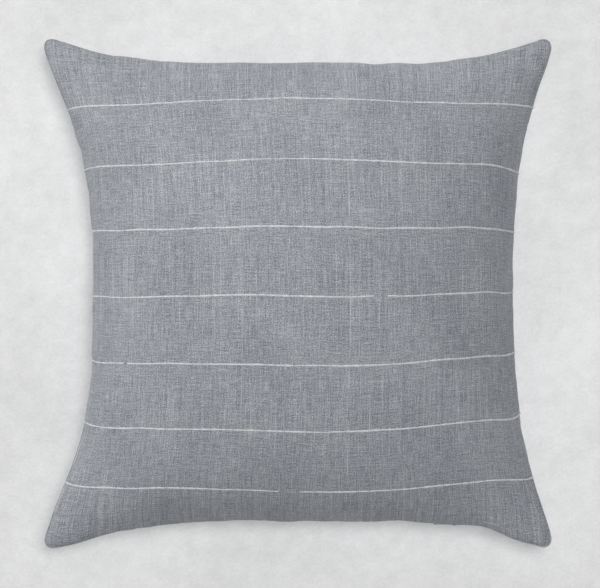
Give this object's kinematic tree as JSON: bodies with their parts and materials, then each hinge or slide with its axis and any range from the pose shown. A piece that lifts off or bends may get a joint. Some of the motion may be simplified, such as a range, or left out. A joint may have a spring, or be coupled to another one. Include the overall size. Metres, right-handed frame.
{
  "type": "throw pillow",
  "caption": "Square scatter cushion with knife edges and pinched corners: a striped woven cover with a concealed zipper over a filled insert.",
  "frame": {"origin": "middle of the face that the pillow rests on", "axes": "+Z out of the front face, +Y towards the edge opposite the zipper, +X along the zipper"},
  "size_m": [0.4857, 0.4865, 0.162],
  "materials": {
    "cover_cloth": "slubby plain weave",
    "stripe_yarn": "slub yarn",
    "cover_thread": "sewing thread",
    "label_tape": "blank satin tape",
    "zipper_tape": "woven tape",
    "zipper_coil": "nylon coil",
    "zipper_metal": "enamelled",
    "insert_cloth": "cotton cambric",
    "insert_filling": "fibre filling",
    "insert_thread": "sewing thread"
  },
  "bodies": {
    "pillow": {"cover_front_panel": "cover_cloth", "cover_back_panel": "cover_cloth", "stripe_yarns_front": "stripe_yarn", "stripe_yarns_back": "stripe_yarn", "cover_seam_thread": "cover_thread", "cover_overlock_thread": "cover_thread", "care_label": "label_tape", "zipper_tape_front": "zipper_tape", "zipper_tape_back": "zipper_tape", "zipper_teeth_front": "zipper_coil", "zipper_teeth_back": "zipper_coil", "zipper_top_stops": "zipper_metal", "zipper_bottom_stop": "zipper_metal", "zipper_stitching": "cover_thread", "insert_shell_front": "insert_cloth", "insert_shell_back": "insert_cloth", "insert_filling": "insert_filling", "insert_seam_thread": "insert_thread", "insert_closing_stitches": "insert_thread", "insert_tag": "label_tape"},
    "slider": {"zipper_slider": "zipper_metal"},
    "pull": {"zipper_pull": "zipper_metal"}
  },
  "joints": [
    {"name": "slider_slide", "type": "slide", "parent": "pillow", "child": "slider", "axis": [-1, 0, 0], "range_m": [0, 0.25]},
    {"name": "pull_swing", "type": "hinge", "parent": "slider", "child": "pull", "pos_m": [0.15, -0.2199, 0.07], "axis": [0, 0, 1], "range_deg": [0, 150]}
  ]
}
